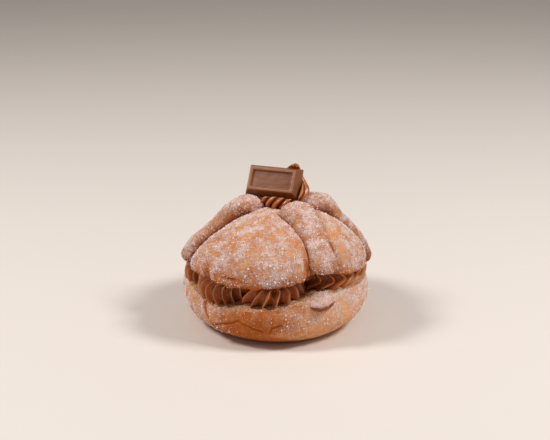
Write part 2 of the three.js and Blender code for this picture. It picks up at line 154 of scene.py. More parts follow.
# Cream: dollops by azimuth, distance from the axis, radius, fullness (1 for an ellipsoid, less for a
# barrel), number and depth of the ridges, turn of the ridges from foot to peak, sway that bends them
# aside above mid height, reach of that bend in half heights, tilt of the peak outwards, drop below the
# gap's middle, and start, the turn of the first ridge.
DOLLOP_FIELDS = ("azimuth", "ring", "radius", "fullness", "ridges", "depth", "twist", "sway", "reach",
                 "tilt", "drop", "start")
DOLLOPS = [dict(zip(DOLLOP_FIELDS, row)) for row in (
    (-168, 37.0, 16.4, 0.5, 18, 4.4, 8, -9, 0.55, 0, 0, 0),
    (-134.5, 38.6, 16.7, 0.42, 19, 5.0, 10, -11, 0.55, 4, 0.3, 4),
    (-92.5, 35.2, 19.0, 0.5, 16, 5.2, 26, -3, 0.55, 16, 2.8, 20),
    (-37, 32.4, 19.6, 0.5, 15, 6.0, 26, 17, 0.28, 4, 0, 8),
    (0, 36.0, 18.0, 0.5, 15, 3.6, 26, 10, 0.4, 0, 0, 5),
    (39, 35.4, 17.2, 0.5, 18, 4.4, 20, 8, 0.45, 6, 0, 2),
    (77, 35.8, 16.8, 0.6, 17, 4.4, 40, 0, 0.55, 28, 0.6, 7),
    (112, 35.6, 17.2, 0.5, 18, 4.4, 20, -6, 0.45, 4, 0, 4),
    (150, 36.0, 16.6, 0.5, 18, 4.2, 12, 6, 0.45, 0, 0, 1),
)]
DOLLOP_HALF_HEIGHT = 11.5
# Hole in a dollop's peak: its depth, and its width in radians from the pole.
DOLLOP_HOLE = {"depth": 5.5, "width": 0.22}
# How far the cream reaches into the upper half, and how far it stays off the lower one.
CREAM_INTO_LID = 0.2
CREAM_OFF_CRUMB = 0.1
CREAM_CORE = {"radius": 36.0, "height": 31.0, "half_height": 8.0}
# Pit beside the front dollop's peak: its middle, half width and depth.
CREAM_PIT = {"middle": (-0.3, -51.5, 33.4), "width": 2.2, "depth": 4.5}

# Rosette: its place, its profile of radius and height from peak to foot, and how its peak leans over.
ROSETTE = {
    "place": (5.6, 5.5, 66.0),
    "profile": [(0.01, 24.2), (2.2, 23.2), (4.6, 20.8), (7.4, 17.4), (10.8, 13.4), (13.2, 10.3), (13.9, 7.4),
                (13.3, 4.2), (11.2, 1.2), (0.01, 0)],
    "ridges": 16, "depth": 2.8, "twist": 75, "lean": (6.5, 5.0), "foot": (-1.8, -2.2),
}

# Chocolate piece: a moulded block with slanted sides and a sunken panel. Its border's edges are painted
# paler, as a painted highlight, within the distance given last.
BAR = {"length": 33.0, "width": 19.0, "thick": 6.4, "corner": 0.7, "draft": 2.8, "border": 1.2,
       "panel_depth": 1.5, "slope": 0.8, "edge_highlight": 0.32}
BAR_PLACE = {"middle": (-0.4, 8.4, 79.0), "yaw": -20.0, "lean": 32.0}
# Gap that the cream behind the chocolate keeps.
BAR_GAP = 0.15

# ---------------------------------------------------------------- curves and fields


def smooth(value, low, high):
    """0 below low, 1 above high, and an even S curve between them."""
    t = np.clip((value - low) / (high - low), 0, 1)
    return t * t * (3 - 2 * t)


def mix(low, high, share):
    """Straight blend from low to high."""
    return low + (high - low) * share


def bell(offset, width=1.0):
    """Bell curve: 1 at no offset, and 0.37 at one width to either side."""
    return np.exp(-((offset / width) ** 2))


def hermite(t, start, end, slope_start, slope_end):
    """Cubic from start to end with the given slopes at its ends, t from 0 to 1."""
    return (
        start * (2 * t**3 - 3 * t**2 + 1)
        + slope_start * (t**3 - 2 * t**2 + t)
        + end * (3 * t**2 - 2 * t**3)
        + slope_end * (t**3 - t**2)
    )


def closed_curve(rows):
    """Smooth closed curve through rows of azimuth and values, as a function of azimuth.

    Cubics join the rows, and the slope at a row is the mean of the straight slopes on its two sides.
    """
    table = np.array(rows, float)
    knots = np.append(table[:, 0], table[0, 0] + 360)
    values = np.vstack([table[:, 1:], table[:1, 1:]])
    straight = np.diff(values, axis=0) / np.diff(knots)[:, None]
    slopes = (straight + np.roll(straight, 1, axis=0)) / 2
    slopes = np.vstack([slopes, slopes[:1]])

    def at(azimuth):
        wrapped = (np.asarray(azimuth, float) + 180) % 360 - 180
        i = np.clip(np.searchsorted(knots, wrapped, side="right") - 1, 0, len(knots) - 2)
        span = (knots[i + 1] - knots[i])[..., None]
        t = (wrapped - knots[i])[..., None] / span
        found = hermite(t, values[i], values[i + 1], slopes[i] * span, slopes[i + 1] * span)
        return np.moveaxis(found, -1, 0)

    return at


def path_through(stations, share):
    """Centripetal Catmull-Rom curve through the stations, at shares from 0 to 1 of their count."""
    points = np.array(stations, float)
    points = np.vstack([2 * points[0] - points[1], points, 2 * points[-1] - points[-2]])
    spans = len(stations) - 1
    i = np.minimum((share * spans).astype(int), spans - 1)
    t = (share * spans - i)[:, None]
    before, start, end, after = (points[i + k] for k in range(4))

    def knot(a, b):
        return np.maximum(np.linalg.norm(b - a, axis=1, keepdims=True) ** 0.5, 1e-4)

    d0, d1, d2 = knot(before, start), knot(start, end), knot(end, after)
    slope_start = ((start - before) / d0 - (end - before) / (d0 + d1) + (end - start) / d1) * d1
    slope_end = ((end - start) / d1 - (after - start) / (d1 + d2) + (after - end) / d2) * d1
    return hermite(t, start, end, slope_start, slope_end)


def turn_between(to, start):
    """Shortest signed angle from one azimuth to another."""
    return (np.asarray(to) - start + 180) % 360 - 180


def round_axis(heading, radius, z):
    """Points at a heading in radians, a distance from the axis and a height."""
    return np.stack(np.broadcast_arrays(radius * np.cos(heading), radius * np.sin(heading), z), axis=-1)


def polar(azimuth, radius, z):
    """Points at an azimuth in degrees, a distance from the axis and a height."""
    return round_axis(np.radians(azimuth), radius, z)


def ball_grid(rings, columns):
    """Angles of a ball's rings from pole to pole, as a column, and headings round it, as a row."""
    return np.pi * np.linspace(0, 1, rings)[:, None], 2 * np.pi * np.arange(columns)[None, :] / columns


def with_poles(points):
    """Points whose first and last ring are each drawn together into their middle."""
    points[0] = points[0].mean(axis=0)
    points[-1] = points[-1].mean(axis=0)
    return points


def lumps(points, size, seed):
    """Smooth random field from -1 to 1: seeded values on a lattice, size apart, blended in between."""
    cell = points / size
    corner = np.floor(cell).astype(int)
    part = cell - corner
    part = part * part * (3 - 2 * part)
    table = np.random.default_rng(seed).uniform(-1, 1, (32, 32, 32))
    total = 0
    for step in np.ndindex(2, 2, 2):
        weight = np.prod(np.where(step, part, 1 - part), axis=-1)
        i, j, k = np.moveaxis((corner + step) % 32, -1, 0)
        total = total + weight * table[i, j, k]
    return total


def crumpled(points, size, seed, octaves=3):
    """Sum of ever finer and weaker lumps."""
    return sum(lumps(points + 17.3 * n, size / 2**n, seed + n) / 2**n for n in range(octaves))


def drifted(sugar, points):
    """A mark of sugar, gathered into drifts about 4 mm across by crumpled lumps, from 0 to 1."""
    return np.clip(sugar * (1 + 0.5 * crumpled(points, 4, 61)), 0, 1)


def near_line(across, up, line, width):
    """1 on a line of points in a plane, falling off beside it as a bell curve of the given half width."""
    nearest = np.full(np.broadcast(across, up).shape, np.inf)
    for (x0, y0), (x1, y1) in zip(line[:-1], line[1:]):
        dx, dy = x1 - x0, y1 - y0
        share = np.clip(((across - x0) * dx + (up - y0) * dy) / (dx * dx + dy * dy), 0, 1)
        nearest = np.minimum(nearest, np.hypot(across - x0 - share * dx, up - y0 - share * dy))
    return bell(nearest, width)


def dense_turn(columns, middle, pull):
    """Azimuths of a full turn, closer together round middle: a turn less pull times its sine."""
    share = np.arange(columns) / columns - 0.5
    return middle + 360 * (share - pull * np.sin(2 * np.pi * share))


def turned(points, axis, angle):
    """Points turned about x, y or z through the origin."""
    c, s = np.cos(np.radians(angle)), np.sin(np.radians(angle))
    matrix = {
        "x": [[1, 0, 0], [0, c, -s], [0, s, c]],
        "y": [[c, 0, s], [0, 1, 0], [-s, 0, c]],
        "z": [[c, -s, 0], [s, c, 0], [0, 0, 1]],
    }[axis]
    return points @ np.array(matrix).T


base_plan = closed_curve(BASE_PLAN)
cut_edge = closed_curve(CUT_EDGE)
lid_plan = closed_curve(LID_PLAN)

# ---------------------------------------------------------------- meshes


def ring_faces(rings, columns, first=0):
    """Faces of a surface of rings whose first and last ring are single points, with the outside out."""
    i, j = np.meshgrid(np.arange(rings - 3), np.arange(columns), indexing="ij")
    here, beside = 1 + i * columns + j, 1 + i * columns + (j + 1) % columns
    quads = np.stack([here, here + columns, beside + columns, beside], axis=-1).reshape(-1, 4)
    j = np.arange(columns)
    last_ring = 1 + (rings - 3) * columns
    end = 1 + (rings - 2) * columns
    top = np.stack([np.zeros_like(j), 1 + j, 1 + (j + 1) % columns], axis=-1)
    bottom = np.stack([np.full_like(j, end), last_ring + (j + 1) % columns, last_ring + j], axis=-1)
    return (quads + first).tolist() + (top + first).tolist() + (bottom + first).tolist()


def ring_vertices(grid):
    """Values on a grid of rings as a list of vertices, with the first and last ring as one vertex each."""
    return np.concatenate([grid[0, :1], grid[1:-1].reshape(-1, *grid.shape[2:]), grid[-1, :1]])


def new_piece(name, vertices, faces, marks=None, smooth_faces=True):
    """Adds a mesh object at the origin from vertices in millimetres. marks are named numbers per vertex."""
    mesh = bpy.data.meshes.new(name)
    mesh.from_pydata((vertices * MM).tolist(), [], faces)
    mesh.polygons.foreach_set("use_smooth", np.full(len(mesh.polygons), smooth_faces))
    for mark, values in (marks or {}).items():
        layer = mesh.attributes.new(mark, "FLOAT", "POINT")
        layer.data.foreach_set("value", np.ascontiguousarray(values, np.float32))
    mesh.update()
    piece = bpy.data.objects.new(name, mesh)
    bpy.context.scene.collection.objects.link(piece)
    return piece


def ring_piece(name, points, marks=None):
    """Piece from one grid of points, with marks given on the same grid."""
    flat = {mark: ring_vertices(values) for mark, values in (marks or {}).items()}
    return new_piece(name, ring_vertices(points), ring_faces(*points.shape[:2]), flat)


def joined_piece(name, mark, surfaces):
    """Piece from several grids of points with a mark each, which stay separate closed surfaces."""
    vertices, faces, marks = [], [], []
    first = 0
    for grid, values in surfaces:
        found = ring_vertices(grid)
        faces += ring_faces(*grid.shape[:2], first)
        vertices.append(found)
        marks.append(ring_vertices(values))
        first += len(found)
    return new_piece(name, np.concatenate(vertices), faces, {mark: np.concatenate(marks)})


def dress(piece, material, slot, *nodes):
    """Gives a piece its material, lets it ride on the bun and hides the nodes that it stands for. Its slot is
    not used.
    """
    piece.data.materials.append(material)
    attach(piece, "root")
    for node in nodes:
        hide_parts(node)


# ---------------------------------------------------------------- shapes of the bread


def base_lumps(azimuth, z):
    """Uneven swelling of the lower half's side: three waves round it, and a step beside the fold."""
    a = np.radians(azimuth)
    rolling = 0.5 * np.sin(3 * a + 0.6) + 0.4 * np.sin(5 * a - 1.1 + z / 9) + 0.25 * np.sin(9 * a + z / 5)
    side = turn_between(azimuth, FOLD["azimuth"]) / FOLD["width"]
    return (rolling + FOLD["step"] * side * bell(side)) * smooth(z, 0, 9)


def lower_half(crumple, columns=420, crumb_rings=34, upper_rings=34, lower_rings=52):
    """Surface of the lower half, from the middle of its cut face over the edge and down to the foot.

    The cut face is a paraboloid between the middle height and the edge. Above the widest ring the side
    leans in as a parabola, and below it curves in as a quarter ellipse. Waves, lumps and cracks move the
    side along its radius.
    """
    azimuth = dense_turn(columns, FRONT, 0.09)[None, :]
    cut = cut_edge(azimuth)[0]
    base_radius, foot_radius, widest = base_plan(azimuth)
    reach = np.sqrt(np.linspace(0, 1, crumb_rings))[:, None]
    face_z = mix(CUT_MIDDLE, cut, reach**2)
    face_r = reach * (base_radius - CUT_TUCK + base_lumps(azimuth, cut))
    up = 1 - np.linspace(0, 1, upper_rings + 1)[1:, None]
    upper_z = mix(widest, cut, up)
    upper_r = base_radius - CUT_TUCK * up**2 + base_lumps(azimuth, upper_z)
    down = np.radians(90 * np.linspace(0, 1, lower_rings + 1)[1:, None])
    lower_z = widest * (1 - np.sin(down))
    lower_r = mix(foot_radius, base_radius, np.cos(down)) + base_lumps(azimuth, lower_z)
    foot_z = np.zeros((2, columns))
    foot_r = np.array([[0.6], [0.0]]) * foot_radius

    z = np.vstack([face_z, upper_z, lower_z, foot_z])
    radius = np.vstack([face_r, upper_r, lower_r, foot_r])
    ring = np.arange(len(z))[:, None]
    crumb = np.where(ring < crumb_rings - 1, 1.0, 0.0) * np.ones_like(z)
    points = polar(azimuth, radius, z)

    across = np.radians(turn_between(azimuth, FRONT)) * BASE_RADIUS
    # The cracks are bare of sugar and painted darker, as painted shade in them.
    dark = np.zeros_like(z)
    side = (1 - crumb) * smooth(z, 0.3, 4)
    for width, depth, crack in SIDE_CRACKS:
        line = [(np.radians(turn_between(a, FRONT)) * BASE_RADIUS, h) for a, h in crack]
        groove = near_line(across, z, line, width) * side
        radius = radius - depth * groove
        dark = np.maximum(dark, groove)
    radius = radius + side * crumple * crumpled(points, 6.5, 11)
    # The crumb is torn rather than level, and its edge wanders.
    torn = 0.5 * crumpled(points, 3.2, 23) + 0.25 * lumps(points, 1.3, 29)
    z = z + crumb * smooth(radius, 20, 50) * torn
    z = z + bell(ring - crumb_rings + 1, 3) * 0.35 * crumpled(points, 4.0, 31)
    points = polar(azimuth, radius, np.maximum(z, 0))
    points[-1] = points[-1, 0]
    points[0] = points[0, 0]

    # The front is brown and nearly bare: partly baked brown, and partly painted shade with a warm painted
    # bounce light. The right front is pale gold, and the sides are sugared.
    front = bell(turn_between(azimuth, BAKED_AND_SHADED_FRONT[0]), BAKED_AND_SHADED_FRONT[1])
    bright = bell(turn_between(azimuth, PALE_FRONT[0]), PALE_FRONT[1])
    height = smooth(z, 2, 24)
    low = smooth(z, 6, 0)
    sugar = 0.44 + 0.16 * height - 0.4 * front * (1 - 0.2 * height) - 0.3 * bright * (1 - height) - 0.4 * low
    bake_and_shade = 0.37 + 0.6 * front * (1 - 0.25 * height) - 0.55 * bright + 0.45 * low
    # Only a little sugar has fallen on the crumb.
    fallen = np.where(ring < crumb_rings - 1, 0.3, 1.0)
    marks = {
        "crumb": np.where(ring < crumb_rings, 1.0, 0.0) * np.ones_like(z),
        "sugar": drifted(sugar, points) * (1 - dark) * smooth(z, 0.2, 2) * fallen,
        "bake_and_shade": np.clip(bake_and_shade + 0.6 * dark, 0, 1) * np.ones_like(z),
    }
    return points, marks


def bone_lines(radius):
    """Azimuths of the bones' middle lines at a distance from the axis."""
    share = np.minimum(1, radius / LID_PLAN[0][1])
    return [mix(*bone["azimuths"], share) for bone in BONES.values()]


def dome_relief(azimuth, radius, lid_radius):
    """How far the dome stands out between the bones, lies back under them and dips at the crown.

    Between two bones it swells as half a sine wave across and along. Under a bone it is pressed in as a
    bell curve, and along the bone's sides a narrow crease runs as a second one. Beside a bone's soft side
    both are weaker. Also gives how much a place is in a crease.
    """
    lines = bone_lines(radius)
    before = np.min([(azimuth - line) % 360 for line in lines], axis=0)
    after = np.min([(line - azimuth) % 360 for line in lines], axis=0)
    between = np.sin(np.pi * before / (before + after))
    swelling = QUARTER_BULGE * between * np.sin(np.pi * np.minimum(radius / lid_radius, 0.8))
    pressed_in = np.zeros(np.broadcast(azimuth, radius).shape)
    crease = np.zeros_like(pressed_in)
    for bone, line in zip(BONES.values(), lines):
        away = np.radians(turn_between(azimuth, line))
        beside = radius * np.sin(away)
        here = smooth(radius, 4, 22) * (np.cos(away) > 0)
        soft = bone.get("soft", 0) * smooth(beside / bone["groove"], -0.2, 0.7) * smooth(radius, 49, 41)
        depth = mix(*bone["depths"], smooth(radius, 0.75 * lid_radius, lid_radius))
        groove = depth * bell(beside, bone["groove"]) * here * (1 - soft)
        stations = np.array(bone["stations"])
        half_width = np.interp(radius, stations[:, 0], stations[:, 2])
        narrow = bell(np.abs(beside) - CREASE["place"] * half_width, CREASE["width"]) * here * (1 - soft)
        pressed_in = np.maximum(pressed_in, groove + CREASE["depth"] * narrow)
        crease = np.maximum(crease, narrow)
    dimple = CROWN_DIMPLE["depth"] * bell(radius, CROWN_DIMPLE["radius"])
    return swelling - pressed_in - dimple, crease


def upper_half(crumple, columns=420, dome_rings=170, lip_rings=14, crumb_rings=16):
    """Surface of the upper half, from the crown down the dome, over the lip and back under to the middle.

    The dome's section is a quarter of a superellipse whose fullness changes round the bun. Relief, dents
    and lumps move it along its normal. The lip tucks in as a parabola, and the cut face below is a
    paraboloid.
    """
    azimuth = dense_turn(columns, FRONT, 0.07)[None, :]
    lid_radius, edge, fullness = lid_plan(azimuth)
    waist = edge + LIP_HEIGHT
    rise = CROWN_HEIGHT - waist
    angle = np.radians(90 * np.linspace(0, 1, dome_rings + 1) ** 0.97)[:, None]
    across = np.sin(angle) ** (2 / fullness)
    up = np.clip(np.cos(angle), 0, 1) ** (2 / fullness)
    slope_r = across ** (fullness - 1) / lid_radius
    slope_z = up ** (fullness - 1) / rise
    length = np.hypot(slope_r, slope_z)
    normal_r, normal_z = slope_r / length, slope_z / length
    radius, z = lid_radius * across, waist + rise * up

    relief, crease = dome_relief(azimuth, radius, lid_radius)
    dark = np.zeros_like(radius)
    for dent_azimuth, height, wide, tall, depth in DENTS:
        reach = lid_radius * across * np.radians(turn_between(azimuth, dent_azimuth)) / wide
        dent = np.exp(-(reach**2) - ((z - height) / tall) ** 2)
        relief = relief - depth * dent
        # Each dent is also bare of sugar and painted darker, as painted shade, the more so the deeper it is.
        dark = np.maximum(dark, dent * min(1, depth / 2))
    points = polar(azimuth, radius, z)
    relief = relief + crumple * crumpled(points, 7, 41) * smooth(radius, 0, 6)
    radius = np.maximum(0, radius + relief * normal_r)
    z = z + relief * normal_z

    waist_radius = radius[-1:]
    down = np.linspace(0, 1, lip_rings + 1)[1:, None]
    lip_r = waist_radius - LIP_TUCK * down**2
    lip_z = edge + LIP_HEIGHT * (1 - down) + (z[-1:] - waist) * (1 - down)
    reach = 1 - np.linspace(0, 1, crumb_rings + 1)[1:, None]
    face_r = reach * (waist_radius - LIP_TUCK)
    face_z = mix(LID_MIDDLE, edge, reach**2)
    radius = np.vstack([radius, lip_r, face_r])
    z = np.vstack([z, lip_z, face_z])
    crease = np.vstack([crease, crease[-1:] * np.ones_like(lip_r), np.ones_like(face_r)])
    dark = np.vstack([dark, dark[-1:] * (1 - down), np.zeros_like(face_r)])
    ring = np.arange(len(z))[:, None]
    rim = dome_rings + lip_rings
    points = polar(azimuth, radius, z)
    ragged = bell(ring - rim, 4)
    z = z + ragged * (0.7 * crumpled(points, 3.2, 53) - 0.4 * np.abs(lumps(points, 1.2, 55)))
    radius = radius + ragged * 0.5 * crumpled(points, 2.4, 57)
    points = polar(azimuth, radius, z)
    points[0] = points[0, 0]
    points[-1] = points[-1, 0]

    # The strip beside the front bone is pale and bare. Creases and dents are bare of sugar and painted
    # darker, as painted shade; the edge is baked and bare, and the dome darkens towards the lip.
    # Sugar lies thick on the front quarter's brow.
    bone = bone_lines(radius)[1]
    across = radius * np.radians(turn_between(azimuth, bone + STRIP["turn"])) - STRIP["shift"]
    strip = bell(across, STRIP["width"]) * smooth(radius, 18, 30)
    aside = turn_between(azimuth, BROW["azimuth"]) / BROW["wide"]
    brow = np.exp(-(aside**2) - ((z - BROW["height"]) / BROW["tall"]) ** 2)
    crease = smooth(crease, 0.25, 0.9)
    low = smooth(z, 50, 38)
    edge_bake = bell(ring - rim, 5)
    bake_and_shade = 0.4 + 0.28 * low - 0.12 * strip - 0.1 * brow + 0.5 * dark + 0.35 * crease + 0.3 * edge_bake
    sugar = 0.59 - 0.1 * low - 0.1 * strip + 0.07 * brow - 0.55 * dark - 0.45 * crease - 0.2 * edge_bake
    marks = {
        "crumb": np.where(ring > rim, 1.0, 0.0) * np.ones_like(z),
        "sugar": drifted(sugar, points) * (ring <= rim),
        "bake_and_shade": np.clip(bake_and_shade, 0, 1) * np.ones_like(z),
    }
    return points, marks


def bone_surface(bone, crumple, seed, rings=150, columns=96):
    """Rope of dough along a bone's stations.

    Its section is an ellipse square to the path. An end shrinks to its pole as a quarter circle, except
    a cut end, where the rings turn level and close in the plane of the cut.
    """
    share = 0.5 - 0.5 * np.cos(np.pi * np.linspace(0, 1, rings))
    squeeze = np.ones(rings)
    cut_at = bone.get("cut_at")
    if cut_at:
        caps = np.array(CUT_END["caps"])
        share = np.append(np.linspace(0, 1, rings - len(caps)) ** 1.15, np.ones(len(caps)))
        squeeze[-len(caps):] = caps
        # The cut end's corners are rounded off.
        squeeze *= 1 - CUT_END["rounding"] * smooth(share, 0.9, 1) ** 2
    table = np.array(bone["stations"], float)
    along = path_through(table[:, :2], share)
    girth = path_through(table[:, 2:], share)
    fine = np.linspace(0, 1, 400)
    step = np.gradient(path_through(table[:, :2], fine), axis=0)
    step /= np.linalg.norm(step, axis=1, keepdims=True)
    heading = np.stack([np.interp(share, fine, step[:, k]) for k in (0, 1)], axis=1)
    if cut_at:
        level = smooth(share, 0.72, 1.0)[:, None]
        heading = mix(heading, np.array([0.0, -1.0]), level)
        heading /= np.linalg.norm(heading, axis=1, keepdims=True)
    from_end = share if cut_at else np.minimum(share, 1 - share)
    inside = np.minimum(from_end / 0.1, 1)
    girth = girth * (np.sqrt(np.maximum(0, 1 - (1 - inside) ** 2)) * squeeze)[:, None]

    azimuth = mix(*bone["azimuths"], np.minimum(1, along[:, 0] / LID_PLAN[0][1]))
    centre = polar(azimuth, along[:, 0], along[:, 1])[:, None, :]
    sideways = polar(azimuth + 90, 1, 0)[:, None, :]
    outwards = polar(azimuth, -heading[:, 1], heading[:, 0])[:, None, :]
    turn = -2 * np.pi * np.arange(columns)[None, :, None] / columns
    arm = sideways * girth[:, None, :1] * np.cos(turn) + outwards * girth[:, None, 1:] * np.sin(turn)
    points = centre + arm
    swell = crumple * (1.3 * crumpled(points, 8, seed) + 0.3 * lumps(points, 2.6, seed + 5))
    length = np.linalg.norm(arm, axis=-1)
    points = points + arm * (swell * np.minimum(1, length / 3) / np.maximum(length, 1e-6))[..., None]
    if cut_at:
        points[share >= 1, :, 2] = cut_at
    points = with_poles(points)

    outer = np.sin(turn[..., 0]) * np.ones((rings, 1))
    foot = smooth(share, 0.7, 0.97)[:, None]
    marks = {
        "crumb": np.zeros_like(outer) + (squeeze < 0.8)[:, None],
        "sugar": drifted(0.34 - 0.14 * foot + 0.3 * outer, points) * (squeeze > 0.8)[:, None],
        "bake_and_shade": np.clip(0.55 + 0.4 * foot - 0.25 * outer, 0, 1),
    }
    return points, marks


def tip_surface(crumple, rings=70, columns=90):
    """Torn end of the front bone: an ellipsoid with lumps and a dented top, sugared above, baked below."""
    angle, turn = ball_grid(rings, columns)
    unit = round_axis(turn, np.sin(angle), np.cos(angle))
    points = unit * np.array(TIP["half"])
    points = points * (1 + 0.08 * crumpled(points, 5, 71) * np.sin(angle))[..., None]
    dent = np.exp(-(points[..., 0] ** 2 + points[..., 1] ** 2) / TIP["dent_width"] ** 2)
    points[..., 2] -= TIP["dent"] * dent * (unit[..., 2] > 0)
    points = points + unit * (0.4 * crumple * crumpled(points, 2.6, 73))[..., None]
    points = with_poles(points)
    top = smooth(unit[..., 2] + 0.2 * crumpled(points, 3, 77), -0.1, 0.35)
    for axis, angle in (("x", TIP["roll"]), ("y", TIP["dip"]), ("z", TIP["azimuth"])):
        points = turned(points, axis, angle)
    points = points + polar(TIP["azimuth"], TIP["radius"], TIP["height"])
    marks = {"crumb": np.zeros_like(top), "sugar": 0.72 * top, "bake_and_shade": 1 - top}
    return points, marks


# ---------------------------------------------------------------- shapes of the cream


def ridge_columns(ridges, per_ridge):
    """Angles round a swirl, closer together at the crests, and each one's share from crest to crest."""
    share = np.arange(per_ridge) / per_ridge
    share = share - 0.11 * np.sin(2 * np.pi * share)
    turn = (np.arange(ridges)[:, None] + share[None, :]).ravel() * 2 * np.pi / ridges
    return turn[None, :], np.tile(share, ridges)[None, :]


def pressed(points):
    """Squeezes cream into the gap between the halves.

    A height is counted from the gap's middle in half gaps, t, and becomes t / (1 + t^6)^(1/6), which
    never passes 1.
    """
    azimuth = np.degrees(np.arctan2(points[..., 1], points[..., 0]))
    radius = np.hypot(points[..., 0], points[..., 1])
    lid_radius, edge, _ = lid_plan(azimuth)
    ceiling = mix(LID_MIDDLE, edge, np.minimum(1, radius / lid_radius) ** 2) + CREAM_INTO_LID
    reach = np.minimum(1, radius / (BASE_RADIUS - CUT_TUCK))
    floor = mix(CUT_MIDDLE, cut_edge(azimuth)[0], reach**2) + CREAM_OFF_CRUMB
    half = (ceiling - floor) / 2
    t = (points[..., 2] - (ceiling + floor) / 2) / half
    found = points.copy()
    found[..., 2] = (ceiling + floor) / 2 + half * t / (1 + t**6) ** (1 / 6)
    return found


def dollop_surface(spec, rings=62, per_ridge=10):
    """Star-tip dollop: an ellipsoid filled out to a barrel by its fullness, with ridges from pole to pole.

    Between two crests lies a round valley, 1 - |2s - 1|^3.4 across. The ridges turn by twist from foot to
    peak, and swing aside by sway as a bell curve of the height. The peak has a hole where the tip was
    pulled away. The tilted body is squashed, and pressed between the halves. Also gives how near a place
    is to a crest.
    """
    radius = spec["radius"]
    turn, share = ridge_columns(spec["ridges"], per_ridge)
    valley = 1 - np.abs(2 * share - 1) ** 3.4
    angle = np.pi * np.linspace(0, 1, rings)[:, None]
    girth, height = np.sin(angle), np.cos(angle)
    swing = bell(height - 0.2, spec["reach"])
    bend = np.radians(spec["twist"] * (height + 1) / 2 + spec["sway"] * swing)
    uneven = 1 + 0.2 * np.sin(turn * 2 + spec["start"]) * girth
    in_by = spec["depth"] * valley * uneven * girth**0.7
    around = np.maximum((radius - in_by) * girth ** spec["fullness"], 0)
    z = (radius - in_by * np.abs(height)) * height - DOLLOP_HOLE["depth"] * bell(angle, DOLLOP_HOLE["width"])
    heading = turn + bend + np.radians(spec["start"])
    points = round_axis(heading, around, z)
    points = points + 0.15 * crumpled(points, 5, 83 + spec["start"])[..., None] * (girth > 0.05)[..., None]
    points = with_poles(points)
    points = turned(points, "y", spec["tilt"])
    points[..., 2] *= DOLLOP_HALF_HEIGHT / radius
    points = turned(points, "z", spec["azimuth"])
    middle = (cut_edge(spec["azimuth"])[0] + lid_plan(spec["azimuth"])[1]) / 2 - spec["drop"]
    points = pressed(points + polar(spec["azimuth"], spec["ring"], middle))
    from_pit = np.linalg.norm(points - np.array(CREAM_PIT["middle"]), axis=-1)
    points[..., 1] += CREAM_PIT["depth"] * bell(from_pit, CREAM_PIT["width"])
    return points, (1 - valley) * np.ones_like(z)


def core_surface(rings=12, columns=90):
    """Round body of cream in the bun's middle: a cylinder with rounded edges. It has no crests."""
    angle, turn = ball_grid(rings, columns)
    radius = CREAM_CORE["radius"] * np.sin(angle) ** 0.25
    points = round_axis(turn, radius, CREAM_CORE["height"] + CREAM_CORE["half_height"] * np.cos(angle))
    return points, np.zeros_like(points[..., 0])


def rosette_surface(rings=120, per_ridge=10):
    """Rosette: a profile turned round its axis, with a peak that leans over.

    Round lobes, |sin|^0.8 across, lie between narrow grooves that twist down it. Where the chocolate
    leans on it, the cream is pressed flat behind the chocolate's back.
    """
    share = np.linspace(0, 1, rings)
    profile = path_through(ROSETTE["profile"], share)
    radius, z = profile[:, :1], profile[:, 1:]
    turn, across = ridge_columns(ROSETTE["ridges"], per_ridge)
    groove = 1 - np.abs(np.sin(np.pi * across)) ** 0.8
    widest = radius.max()
    around = np.maximum(radius - ROSETTE["depth"] * groove * np.sqrt(radius / widest), 0.35 * radius)
    up = (z - z.min()) / (z.max() - z.min())
    heading = turn + np.radians(ROSETTE["twist"]) * up
    points = round_axis(heading, around, z)
    # The peak leans over by lean, and the lower part of the foot spreads towards the front by foot.
    spread = bell(up - 0.2, 0.22) * np.maximum(0, -np.sin(heading + 0.5))
    for axis in (0, 1):
        points[..., axis] += ROSETTE["lean"][axis] * up**2 + ROSETTE["foot"][axis] * spread
    points = with_poles(points)
    return behind_bar(points + np.array(ROSETTE["place"])), {"crest": (1 - groove) ** 6 * np.ones_like(z)}


# ---------------------------------------------------------------- shape of the chocolate piece


def rounded_rectangle(half_x, half_y, corner, per_side=24, per_corner=10):
    """Unit outline of a rectangle with round corners, as arrays of x and y for arrays of half sizes."""
    corner = np.minimum(corner, np.minimum(half_x, half_y) * 0.98)
    x, y = [], []
    for quarter in range(4):
        sx, sy = [(1, 1), (-1, 1), (-1, -1), (1, -1)][quarter]
        arc = np.radians(90 * (quarter + np.arange(per_corner + 1) / per_corner))[None, :]
        x.append(sx * (half_x - corner) + corner * np.cos(arc))
        y.append(sy * (half_y - corner) + corner * np.sin(arc))
        t = (np.arange(1, per_side) / per_side)[None, :]
        nx, ny = [(-1, 1), (-1, -1), (1, -1), (1, 1)][quarter]
        end_x = nx * (half_x - corner) + corner * np.cos(np.radians(90 * (quarter + 1)))
        end_y = ny * (half_y - corner) + corner * np.sin(np.radians(90 * (quarter + 1)))
        x.append(mix(x[-1][:, -1:], end_x, t))
        y.append(mix(y[-1][:, -1:], end_y, t))
    return np.hstack(x), np.hstack(y)


def set_in_place(points):
    """Stands points of the chocolate piece, given as it lies on its back, up against the rosette."""
    points = turned(turned(points, "x", 90 - BAR_PLACE["lean"]), "z", BAR_PLACE["yaw"])
    return points + np.array(BAR_PLACE["middle"])


def behind_bar(points):
    """Moves what lies inside or in front of the chocolate piece to just behind its back.

    The move fades out over 1.5 mm beyond the piece's outline.
    """
    flat = turned(points - np.array(BAR_PLACE["middle"]), "z", -BAR_PLACE["yaw"])
    flat = turned(flat, "x", BAR_PLACE["lean"] - 90)
    beyond = np.maximum(np.abs(flat[..., 0]) - BAR["length"] / 2, np.abs(flat[..., 1]) - BAR["width"] / 2)
    share = 1 - smooth(beyond, 0, 1.5)
    flat[..., 2] -= share * np.maximum(0, flat[..., 2] + BAR_GAP)
    return set_in_place(flat)


